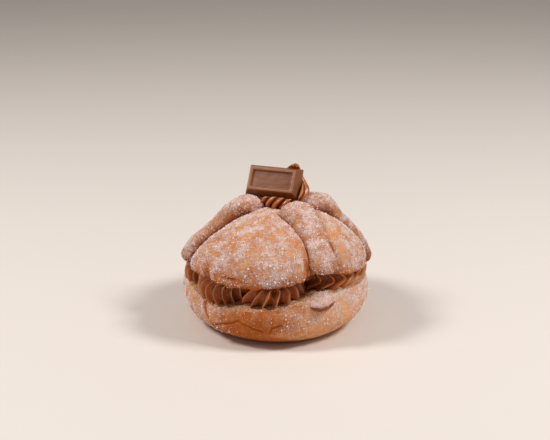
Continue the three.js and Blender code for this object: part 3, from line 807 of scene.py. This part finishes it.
def bar_surface(edge_radius):
    """Moulded block: rounded rectangles stacked along a section that runs from the middle of the panel
    out over the border, down the slanted sides and back under to the middle.

    Each corner of the section is an arc of the edge radius. Also gives how near a place is to the border's
    edges.
    """
    half_x, half_y, thick = BAR["length"] / 2, BAR["width"] / 2, BAR["thick"]
    rim, inner = BAR["draft"], BAR["draft"] + BAR["border"]
    floor = inner + BAR["slope"]
    # Section as inset from the widest outline and height.
    section = [(floor + 3, thick - BAR["panel_depth"]), (floor, thick - BAR["panel_depth"]), (inner, thick),
               (rim, thick), (0, 0), (4, 0)]
    section = np.array(section)
    line = [section[0]]
    for before, here, after in zip(section[:-2], section[1:-1], section[2:]):
        back = (before - here) / np.linalg.norm(before - here)
        on = (after - here) / np.linalg.norm(after - here)
        for t in np.linspace(0, 1, 7):
            # Quadratic blend from one side of the corner to the other.
            line.append(here + edge_radius * (back * (1 - t) ** 2 + on * t**2))
    line.append(section[-1])
    line = np.array(line)
    steps = [line[:1]]
    for start, end in zip(line[:-1], line[1:]):
        count = max(1, int(np.ceil(np.linalg.norm(end - start) / 0.7)))
        steps.append(mix(start, end, (np.arange(1, count + 1) / count)[:, None]))
    line = np.concatenate(steps)
    inset, height = line[:, :1], line[:, 1:]
    edges = np.min([np.linalg.norm(line - corner, axis=1) for corner in section[2:4]], axis=0)
    x, y = rounded_rectangle(half_x - inset, half_y - inset, BAR["corner"])
    points = np.stack([x, y, height * np.ones_like(x)], axis=-1)
    points = points + 0.05 * np.stack([crumpled(points, 4, 91 + k) for k in range(3)], axis=-1)
    centre_top = np.broadcast_to(points[0].mean(axis=0), points[0].shape)
    centre_back = np.broadcast_to(points[-1].mean(axis=0), points[-1].shape)
    inward = [mix(centre_top, points[0], s) for s in (0, 0.25, 0.5, 0.75)]
    outward = [mix(points[-1], centre_back, s) for s in (0.3, 0.6, 1)]
    # Painted highlight: the border's edges are painted paler, fading out over the given distance.
    edge_highlight = bell(np.pad(edges, (len(inward), len(outward)), constant_values=np.inf), BAR["edge_highlight"])
    points = set_in_place(np.concatenate([np.array(inward), points, np.array(outward)]))
    return points, {"edge": edge_highlight[:, None] * np.ones_like(points[..., 0])}


# ---------------------------------------------------------------- sugar


# A crystal's corners in half sizes, and its faces.
BLOCK = (
    [(-1, -1, -1), (1, -1, -1), (1, 1, -1), (-1, 1, -1), (-1, -1, 1), (1, -1, 1), (1, 1, 1), (-1, 1, 1)],
    [(0, 3, 2, 1), (4, 5, 6, 7), (0, 1, 5, 4), (1, 2, 6, 5), (2, 3, 7, 6), (3, 0, 4, 7)],
)
SPLINTER = (
    [(1, 0, 0), (-0.5, 0.87, 0), (-0.5, -0.87, 0), (0, 0, 1), (0, 0, -1)],
    [(0, 1, 3), (1, 2, 3), (2, 0, 3), (1, 0, 4), (2, 1, 4), (0, 2, 4)],
)
# Kinds of sugar: name, shape, number of crystals and usual width in millimetres.
SUGAR_KINDS = [
    ("fine_sugar", SPLINTER, 30000, 0.3),
    ("medium_sugar", SPLINTER, 20000, 0.4),
    ("coarse_sugar", BLOCK, 3000, 0.43),
]


def scattered_crystals(name, pieces, shape, count, size, seed):
    """Sugar crystals strewn over pieces, set where the pieces carry a coat.

    A face's chance is its area times its mark "sugar" squared. A crystal's size varies, it is turned at
    random, and it sinks in by a third.
    """
    random = np.random.default_rng(seed)
    corners, normals, weights = [], [], []
    for piece in pieces:
        mesh = piece.data
        mesh.calc_loop_triangles()
        co = np.empty(len(mesh.vertices) * 3, np.float32)
        mesh.vertices.foreach_get("co", co)
        co = co.reshape(-1, 3).astype(float) / MM
        coat = np.empty(len(mesh.vertices), np.float32)
        mesh.attributes["sugar"].data.foreach_get("value", coat)
        tri = np.empty(len(mesh.loop_triangles) * 3, np.int32)
        mesh.loop_triangles.foreach_get("vertices", tri)
        tri = tri.reshape(-1, 3)
        a, b, c = co[tri[:, 0]], co[tri[:, 1]], co[tri[:, 2]]
        cross = np.cross(b - a, c - a)
        area = np.linalg.norm(cross, axis=1) / 2
        corners.append(np.stack([a, b, c], axis=1))
        normals.append(cross / np.maximum(2 * area, 1e-9)[:, None])
        weights.append(area * coat[tri].mean(axis=1) ** 2)
    corners, normals, weights = map(np.concatenate, (corners, normals, weights))
    chosen = random.choice(len(weights), count, p=weights / weights.sum())
    share = np.sort(random.uniform(0, 1, (count, 2)), axis=1)
    share = np.stack([share[:, 0], share[:, 1] - share[:, 0], 1 - share[:, 1]], axis=1)
    centre = (corners[chosen] * share[:, :, None]).sum(axis=1)
    half = size / 2 * random.lognormal(0, 0.3, (count, 1)) * random.uniform(0.7, 1.25, (count, 3))
    centre = centre + normals[chosen] * half.mean(axis=1, keepdims=True) * 0.35

    spin = random.normal(size=(count, 4))
    w, x, y, z = (spin / np.linalg.norm(spin, axis=1, keepdims=True)).T
    axes = np.stack([
        np.stack([1 - 2 * (y * y + z * z), 2 * (x * y - w * z), 2 * (x * z + w * y)], axis=1),
        np.stack([2 * (x * y + w * z), 1 - 2 * (x * x + z * z), 2 * (y * z - w * x)], axis=1),
        np.stack([2 * (x * z - w * y), 2 * (y * z + w * x), 1 - 2 * (x * x + y * y)], axis=1),
    ], axis=1)
    block, sides = map(np.array, shape)
    vertices = centre[:, None] + np.einsum("nij,nkj->nki", axes, block[None] * half[:, None])
    faces = (sides[None] + len(block) * np.arange(count)[:, None, None]).reshape(-1, sides.shape[1])
    return new_piece(name, vertices.reshape(-1, 3), faces.tolist(), smooth_faces=False)


# ---------------------------------------------------------------- materials


class Finish:
    """A material and short calls for the nodes that it is built from, with sizes in millimetres."""

    def __init__(self, name):
        self.material = bpy.data.materials.new(name)
        self.material.use_nodes = True
        self.tree = self.material.node_tree
        self.tree.nodes.clear()
        self.surface = self.node("ShaderNodeBsdfPrincipled")
        output = self.node("ShaderNodeOutputMaterial")
        self.tree.links.new(self.surface.outputs["BSDF"], output.inputs["Surface"])
        self.place = self.node("ShaderNodeTexCoord").outputs["Object"]

    def node(self, kind, plugs=None, **settings):
        """A new node with its settings, and its sockets joined to outputs or set to plain values."""
        made = self.tree.nodes.new(kind)
        for key, value in settings.items():
            setattr(made, key, value)
        for socket, value in (plugs or {}).items():
            self.plug(made.inputs[socket], value)
        return made

    def plug(self, socket, value):
        """Joins an output to the socket, or sets the socket to a plain value."""
        if isinstance(value, bpy.types.NodeSocket):
            self.tree.links.new(value, socket)
        else:
            socket.default_value = value

    def noise(self, size, detail=3.0, roughness=0.55, distortion=0.0, place=None):
        plugs = {"Vector": place or self.place, "Scale": 1 / (size * MM), "Detail": detail,
                 "Roughness": roughness, "Distortion": distortion}
        return self.node("ShaderNodeTexNoise", plugs).outputs["Fac"]

    def cells(self, size):
        """Cells of about the given size: distance to their middles, and a random colour for each."""
        made = self.node("ShaderNodeTexVoronoi", {"Vector": self.place, "Scale": 1 / (size * MM)})
        return made.outputs["Distance"], made.outputs["Color"]

    def mark(self, name):
        return self.node("ShaderNodeAttribute", attribute_name=name).outputs["Fac"]

    def math(self, operation, *values):
        return self.node("ShaderNodeMath", dict(enumerate(values)), operation=operation).outputs[0]

    def step(self, value, low, high):
        """Smooth step from 0 at low to 1 at high."""
        plugs = {"Value": value, "From Min": low, "From Max": high}
        return self.node("ShaderNodeMapRange", plugs, interpolation_type="SMOOTHSTEP").outputs["Result"]

    def blend(self, share, first, second):
        """Mix of two colours, by the first socket and the two colour sockets of a mix node."""
        plugs = {0: share}
        for socket, value in ((6, first), (7, second)):
            plugs[socket] = value if isinstance(value, bpy.types.NodeSocket) else (*value, 1.0)
        return self.node("ShaderNodeMix", plugs, data_type="RGBA").outputs[2]

    def bump(self, height, depth, below=None):
        """Relief of the given depth in millimetres, on top of another one."""
        plugs = {"Height": height, "Distance": depth * MM, "Strength": 1.0}
        if below is not None:
            plugs["Normal"] = below
        return self.node("ShaderNodeBump", plugs).outputs["Normal"]

    def set(self, **values):
        """Sets the surface's sockets, with underscores for the spaces in their names."""
        for name, value in values.items():
            self.plug(self.surface.inputs[name.replace("_", " ")], value)
        return self.material


def bread_finish(name, gold, brown, colours, coat_shift):
    """Baked crust under sugar, with crumb where it is cut.

    The crust goes from gold to brown by a mark and a noise. The mark holds real baking, and painted shade
    in creases, dents and cracks, and painted shade with a warm painted bounce light on the lower half's
    front.
    Sugar covers it where the mark "sugar" and noises of three sizes are high together: patches, clumps and
    single grains. Crumb shows by the mark "crumb", with open pores.
    """
    f = Finish(name)
    patches = f.noise(8, 3, 0.6, 0.4)
    clumps = f.noise(2.4, 4, 0.7)
    grain = f.noise(0.9, 3, 0.7)
    near, tint = f.cells(0.75)
    picked = f.node("ShaderNodeSeparateColor", {0: tint}).outputs[0]
    crystal = f.math("MULTIPLY", f.step(near, 0.5, 0.2), f.step(picked, 0.45, 0.7))

    bake_and_shade = f.math("ADD", f.mark("bake_and_shade"), f.math("MULTIPLY_ADD", f.noise(5, 4, 0.65), 1.5, -0.75))
    crust = f.blend(f.step(bake_and_shade, 0.0, 1.0), gold, brown)

    coat = f.math("MULTIPLY_ADD", f.mark("sugar"), 1.4, coat_shift - 2.3)
    for noise, share in ((patches, 0.5), (clumps, 1.7), (grain, 2.3)):
        coat = f.math("MULTIPLY_ADD", noise, share, coat)
    cover = f.step(coat, 0.45, 1.25)
    dusted = f.blend(f.math("MULTIPLY", cover, 0.74), crust, colours.sugar)
    bright = f.math("MULTIPLY", crystal, f.step(coat, 0.45, 1.0))
    dusted = f.blend(f.math("MULTIPLY", bright, 0.9), dusted, colours.crystal)

    pores = f.noise(1.1, 3, 0.6)
    crumb = f.blend(f.step(pores, 0.35, 0.6), colours.crumb_shade, colours.crumb)
    cut = f.step(f.mark("crumb"), 0.4, 0.6)
    colour = f.blend(cut, dusted, crumb)

    open_crumb = f.math("MULTIPLY", f.step(pores, 0.3, 0.65), cut)
    relief = f.bump(f.noise(1.8, 3, 0.6), 0.35)
    relief = f.bump(f.math("ADD", f.math("MULTIPLY", cover, grain), bright), 0.35, relief)
    relief = f.bump(open_crumb, 0.3, relief)
    rough = f.math("MULTIPLY_ADD", bright, -0.3, 0.78)
    return f.set(Base_Color=colour, Roughness=rough, Normal=relief, Specular_IOR_Level=0.14)


def cream_finish(colour, shade, crest):
    """Piped chocolate cream: smooth and moist, with faint streaks, painted shade in valleys and painted
    highlights on crests.
    """
    f = Finish("chocolate_cream")
    streak = f.noise(3.5, 3, 0.55, 0.6)
    base = f.blend(f.step(streak, 0.3, 0.75), shade, colour)
    # Painted shade: the valleys between the crests are painted darker.
    valley = f.step(f.mark("crest"), 0.25, 0.0)
    base = f.blend(f.math("MULTIPLY", valley, 0.8), base, [0.45 * c for c in shade])
    # Painted highlight: the crests are painted paler.
    base = f.blend(f.math("MULTIPLY", f.step(f.mark("crest"), 0.45, 1.0), 0.85), base, crest)
    relief = f.bump(f.noise(1.6, 2, 0.5), 0.1)
    relief = f.bump(f.noise(0.5, 2, 0.5), 0.02, relief)
    rough = f.math("MULTIPLY_ADD", f.noise(2.0, 2, 0.5), 0.16, 0.14)
    return f.set(Base_Color=base, Roughness=rough, Normal=relief, Specular_IOR_Level=0.4)


def chocolate_finish(colour, shade, edge_highlight):
    """Moulded milk chocolate: an even satin with fine streaks from the mould, and a painted highlight along
    the border's edges.
    """
    f = Finish("milk_chocolate")
    stretch = {"Vector": f.place, "Rotation": (0.0, 0.5, 0.35), "Scale": (0.25, 1.0, 3.0)}
    streak = f.noise(2.6, 3, 0.5, place=f.node("ShaderNodeMapping", stretch).outputs["Vector"])
    base = f.blend(f.step(streak, 0.3, 0.75), shade, colour)
    # Painted highlight: the border's edges are painted paler.
    base = f.blend(f.math("MULTIPLY", f.mark("edge"), 0.8), base, edge_highlight)
    relief = f.bump(streak, 0.04)
    rough = f.math("MULTIPLY_ADD", streak, 0.2, 0.2)
    return f.set(Base_Color=base, Roughness=rough, Normal=relief, Specular_IOR_Level=0.55)


def crystal_finish(colour):
    """Sugar crystal: pale and shiny, and lit through, so that its shaded faces glow too."""
    f = Finish("sugar_crystal")
    shade = f.blend(f.step(f.noise(0.9, 1, 0.5), 0.3, 0.7), [0.9 * c for c in colour], colour)
    f.surface.inputs["Subsurface Radius"].default_value = (1.0, 1.0, 1.0)
    return f.set(Base_Color=shade, Roughness=0.3, Specular_IOR_Level=0.6, Subsurface_Weight=1.0,
                 Subsurface_Scale=0.5 * MM)


def floor_finish(colour):
    """Plain pale studio floor with the faintest unevenness."""
    f = Finish("studio_floor")
    tone = f.noise(60, 2, 0.5)
    shade = f.blend(f.math("MULTIPLY", tone, 0.12), colour, [0.9 * c for c in colour])
    return f.set(Base_Color=shade, Roughness=0.75, Normal=f.bump(f.noise(1.2, 2, 0.5), 0.03))


# ---------------------------------------------------------------- settings


def colour_setting(name, description, red, green, blue):
    return FloatVectorProperty(name=name, description=description, subtype="COLOR", size=3, min=0, max=1,
                               default=(red, green, blue))


class BunBread(bpy.types.PropertyGroup):
    crumple: FloatProperty(name="Unevenness", description="Height of the small lumps in the crust, in mm",
                           default=0.3, min=0, max=2)
    bone_crumple: FloatProperty(name="Bone unevenness", description="Height of the lumps in the bones, in mm",
                                default=0.4, min=0, max=2)
    gold: colour_setting("Gold crust", "Crust where it is baked least", 0.76, 0.365, 0.165)
    brown: colour_setting("Brown crust", "Crust where it is baked most", 0.42, 0.1, 0.014)
    bone_gold: colour_setting("Pale bone", "Bone crust where it is baked least", 0.66, 0.29, 0.13)
    bone_brown: colour_setting("Brown bone", "Bone crust where it is baked most", 0.29, 0.082, 0.03)
    crumb: colour_setting("Crumb", "Cut bread", 0.78, 0.46, 0.27)
    crumb_shade: colour_setting("Crumb pores", "Cut bread in its pores", 0.5, 0.22, 0.09)
    sugar: colour_setting("Sugar coat", "Dusted sugar over the crust", 0.95, 0.7, 0.66)
    crystal: colour_setting("Bright sugar", "Brightest grains of the sugar coat", 1.0, 0.84, 0.82)


class BunSugar(bpy.types.PropertyGroup):
    amount: FloatProperty(name="Amount", description="Share of the usual number of sugar crystals",
                          default=1.0, min=0.01, max=1, subtype="FACTOR")
    size: FloatProperty(name="Size", description="Size of the crystals against the usual one",
                        default=1.0, min=0.3, max=3)
    crystal: colour_setting("Crystal", "Sugar crystals", 1.0, 0.83, 0.79)


class BunCream(bpy.types.PropertyGroup):
    colour: colour_setting("Cream", "Chocolate cream", 0.48, 0.138, 0.037)
    shade: colour_setting("Dark cream", "Chocolate cream in its darker streaks", 0.38, 0.095, 0.022)
    # Colour of the painted highlight on the crests.
    crest: colour_setting("Cream crests", "Chocolate cream on its thin crests", 0.62, 0.24, 0.09)


class BunChocolate(bpy.types.PropertyGroup):
    edge: FloatProperty(name="Edge radius", description="Rounding of the moulded edges, in mm",
                        default=0.35, min=0.05, max=1)
    colour: colour_setting("Chocolate", "Moulded milk chocolate", 0.25, 0.087, 0.036)
    shade: colour_setting("Dark chocolate", "Moulded chocolate in its darker streaks", 0.215, 0.073, 0.029)
    # Colour of the painted highlight along the border's edges.
    edge_highlight: colour_setting("Worn chocolate", "Moulded chocolate on its worn edges", 0.5, 0.225, 0.115)


class BunStage(bpy.types.PropertyGroup):
    elevation: FloatProperty(name="Camera height", description="Angle of the camera's place over the floor",
                             default=np.radians(20), subtype="ANGLE")
    distance: FloatProperty(name="Camera distance", description="From the bun's middle", default=0.628,
                            subtype="DISTANCE")
    aim: FloatProperty(name="Camera aim", description="How far the camera looks up from the bun's middle",
                       default=np.radians(1.675), subtype="ANGLE")
    floor: colour_setting("Floor", "Plain pale floor", 0.8, 0.74, 0.69)


# ---------------------------------------------------------------- operators


class BUN_OT_lower_half(bpy.types.Operator):
    """Bakes the lower half, with its cut face, fold and cracks"""

    bl_idname = "bun.lower_half"
    bl_label = "Lower half"

    def execute(self, context):
        bread = context.scene.bun_bread
        piece = ring_piece("lower_half", *lower_half(bread.crumple))
        material = bread_finish("sugared_crust", bread.gold, bread.brown, bread, 0.0)
        dress(piece, material, "crust", "bun_base")
        return {"FINISHED"}


class BUN_OT_upper_half(bpy.types.Operator):
    """Bakes the upper half, swollen between the bones"""

    bl_idname = "bun.upper_half"
    bl_label = "Upper half"

    def execute(self, context):
        bread = context.scene.bun_bread
        piece = ring_piece("upper_half", *upper_half(bread.crumple))
        dress(piece, bpy.data.materials["sugared_crust"], "crust", "bun_top")
        return {"FINISHED"}


class BUN_OT_bones(bpy.types.Operator):
    """Lays the dough bones over the crown, and the torn tip of the front one on the lower half"""

    bl_idname = "bun.bones"
    bl_label = "Bones"

    def execute(self, context):
        bread = context.scene.bun_bread
        material = bread_finish("bone_crust", bread.bone_gold, bread.bone_brown, bread, 0.08)
        for seed, (name, bone) in enumerate(BONES.items()):
            piece = ring_piece(name + "_dough", *bone_surface(bone, bread.bone_crumple, 100 + 10 * seed))
            dress(piece, material, "bone_crust", name)
        piece = ring_piece("bone_tip_dough", *tip_surface(bread.bone_crumple))
        dress(piece, material, "bone_crust", "bone_tip")
        return {"FINISHED"}


class BUN_OT_cream_filling(bpy.types.Operator):
    """Pipes the ring of cream dollops between the halves"""

    bl_idname = "bun.cream_filling"
    bl_label = "Cream filling"

    def execute(self, context):
        cream = context.scene.bun_cream
        material = cream_finish(cream.colour, cream.shade, cream.crest)
        piece = joined_piece("cream_dollops", "crest", [*map(dollop_surface, DOLLOPS), core_surface()])
        dress(piece, material, "cream", "cream_filling")
        return {"FINISHED"}


class BUN_OT_cream_rosette(bpy.types.Operator):
    """Pipes the rosette on the crown"""

    bl_idname = "bun.cream_rosette"
    bl_label = "Cream rosette"

    def execute(self, context):
        piece = ring_piece("crown_rosette", *rosette_surface())
        dress(piece, bpy.data.materials["chocolate_cream"], "cream", "cream_rosette")
        return {"FINISHED"}


class BUN_OT_chocolate_piece(bpy.types.Operator):
    """Moulds the piece of chocolate that leans on the rosette"""

    bl_idname = "bun.chocolate_piece"
    bl_label = "Chocolate piece"

    def execute(self, context):
        chocolate = context.scene.bun_chocolate
        piece = ring_piece("moulded_chocolate", *bar_surface(chocolate.edge))
        material = chocolate_finish(chocolate.colour, chocolate.shade, chocolate.edge_highlight)
        dress(piece, material, "chocolate", "chocolate_piece")
        return {"FINISHED"}


class BUN_OT_sugar(bpy.types.Operator):
    """Strews sugar crystals of three kinds over the crust and the bones"""

    bl_idname = "bun.sugar"
    bl_label = "Sugar"

    def execute(self, context):
        sugar = context.scene.bun_sugar
        material = crystal_finish(sugar.crystal)
        names = ["upper_half", "lower_half", *(name + "_dough" for name in (*BONES, "bone_tip"))]
        coated = [bpy.data.objects[name] for name in names]
        for seed, (name, shape, count, size) in enumerate(SUGAR_KINDS):
            count = round(count * sugar.amount)
            piece = scattered_crystals(name, coated, shape, count, size * sugar.size, 200 + seed)
            dress(piece, material, "crust")
        return {"FINISHED"}


def area_light(name, place, target, width, power, colour):
    """Square soft light that faces the target. Places are in metres."""
    light = bpy.data.lights.new(name, "AREA")
    light.size = width
    light.energy = power
    light.color = colour
    lamp = bpy.data.objects.new(name, light)
    x, y, z = np.array(place) - np.array(target)
    lamp.location = place
    lamp.rotation_euler = (np.arctan2(np.hypot(x, y), z), 0, np.arctan2(x, -y))
    bpy.context.scene.collection.objects.link(lamp)


class BUN_OT_stage(bpy.types.Operator):
    """Sets up the pale floor, the soft studio lights and the camera"""

    bl_idname = "bun.stage"
    bl_label = "Stage"

    def execute(self, context):
        scene, stage = context.scene, context.scene.bun_stage
        mesh = bpy.data.meshes.new("floor")
        mesh.from_pydata([(-6, -6, 0), (6, -6, 0), (6, 6, 0), (-6, 6, 0)], [], [(0, 1, 2, 3)])
        floor = bpy.data.objects.new("floor", mesh)
        scene.collection.objects.link(floor)
        mesh.materials.append(floor_finish(stage.floor))

        for name, x, power in (("left_light", -0.8, 8.4), ("right_light", 0.8, 9.3)):
            area_light(name, (x, -0.17, 0.95), (0, 0, 0.05), 0.3, power, (1.0, 0.98, 0.96))
        world = bpy.data.worlds.new("studio")
        world.use_nodes = True
        world.node_tree.nodes["Background"].inputs["Color"].default_value = (1.0, 0.93, 0.87, 1.0)
        world.node_tree.nodes["Background"].inputs["Strength"].default_value = 0.27
        scene.world = world
        scene.view_settings.view_transform = "Standard"

        lens = bpy.data.cameras.new("camera")
        lens.lens = 70
        lens.sensor_width = 36
        camera = bpy.data.objects.new("camera", lens)
        along, up = np.cos(stage.elevation), np.sin(stage.elevation)
        camera.location = (0, -stage.distance * along, BUN_MIDDLE + stage.distance * up)
        camera.rotation_euler = (np.pi / 2 - stage.elevation + stage.aim, 0, 0)
        scene.collection.objects.link(camera)
        scene.camera = camera
        return {"FINISHED"}


# ---------------------------------------------------------------- panel and run

SETTINGS = {"bun_bread": BunBread, "bun_sugar": BunSugar, "bun_cream": BunCream,
            "bun_chocolate": BunChocolate, "bun_stage": BunStage}
STEPS = [BUN_OT_stage, BUN_OT_lower_half, BUN_OT_upper_half, BUN_OT_bones, BUN_OT_cream_filling,
         BUN_OT_cream_rosette, BUN_OT_chocolate_piece, BUN_OT_sugar]


class BUN_PT_panel(bpy.types.Panel):
    """Steps of making the bun, in order, with their settings"""

    bl_idname = "BUN_PT_panel"
    bl_label = "Pan de muerto"
    bl_space_type = "VIEW_3D"
    bl_region_type = "UI"
    bl_category = "Bun"

    def draw(self, context):
        for step in STEPS:
            self.layout.operator(step.bl_idname)
        for name, group in SETTINGS.items():
            box = self.layout.box()
            for setting in group.__annotations__:
                box.prop(getattr(context.scene, name), setting)


def register():
    for made in (*SETTINGS.values(), *STEPS, BUN_PT_panel):
        bpy.utils.register_class(made)
    for name, group in SETTINGS.items():
        setattr(bpy.types.Scene, name, PointerProperty(type=group))


def unregister():
    for name in SETTINGS:
        delattr(bpy.types.Scene, name)
    for made in (BUN_PT_panel, *reversed(STEPS), *SETTINGS.values()):
        bpy.utils.unregister_class(made)


def main():
    """Registers the add-on and runs its steps in order."""
    register()
    for step in STEPS:
        group, name = step.bl_idname.split(".")
        getattr(getattr(bpy.ops, group), name)()


if __name__ == "__main__":
    main()
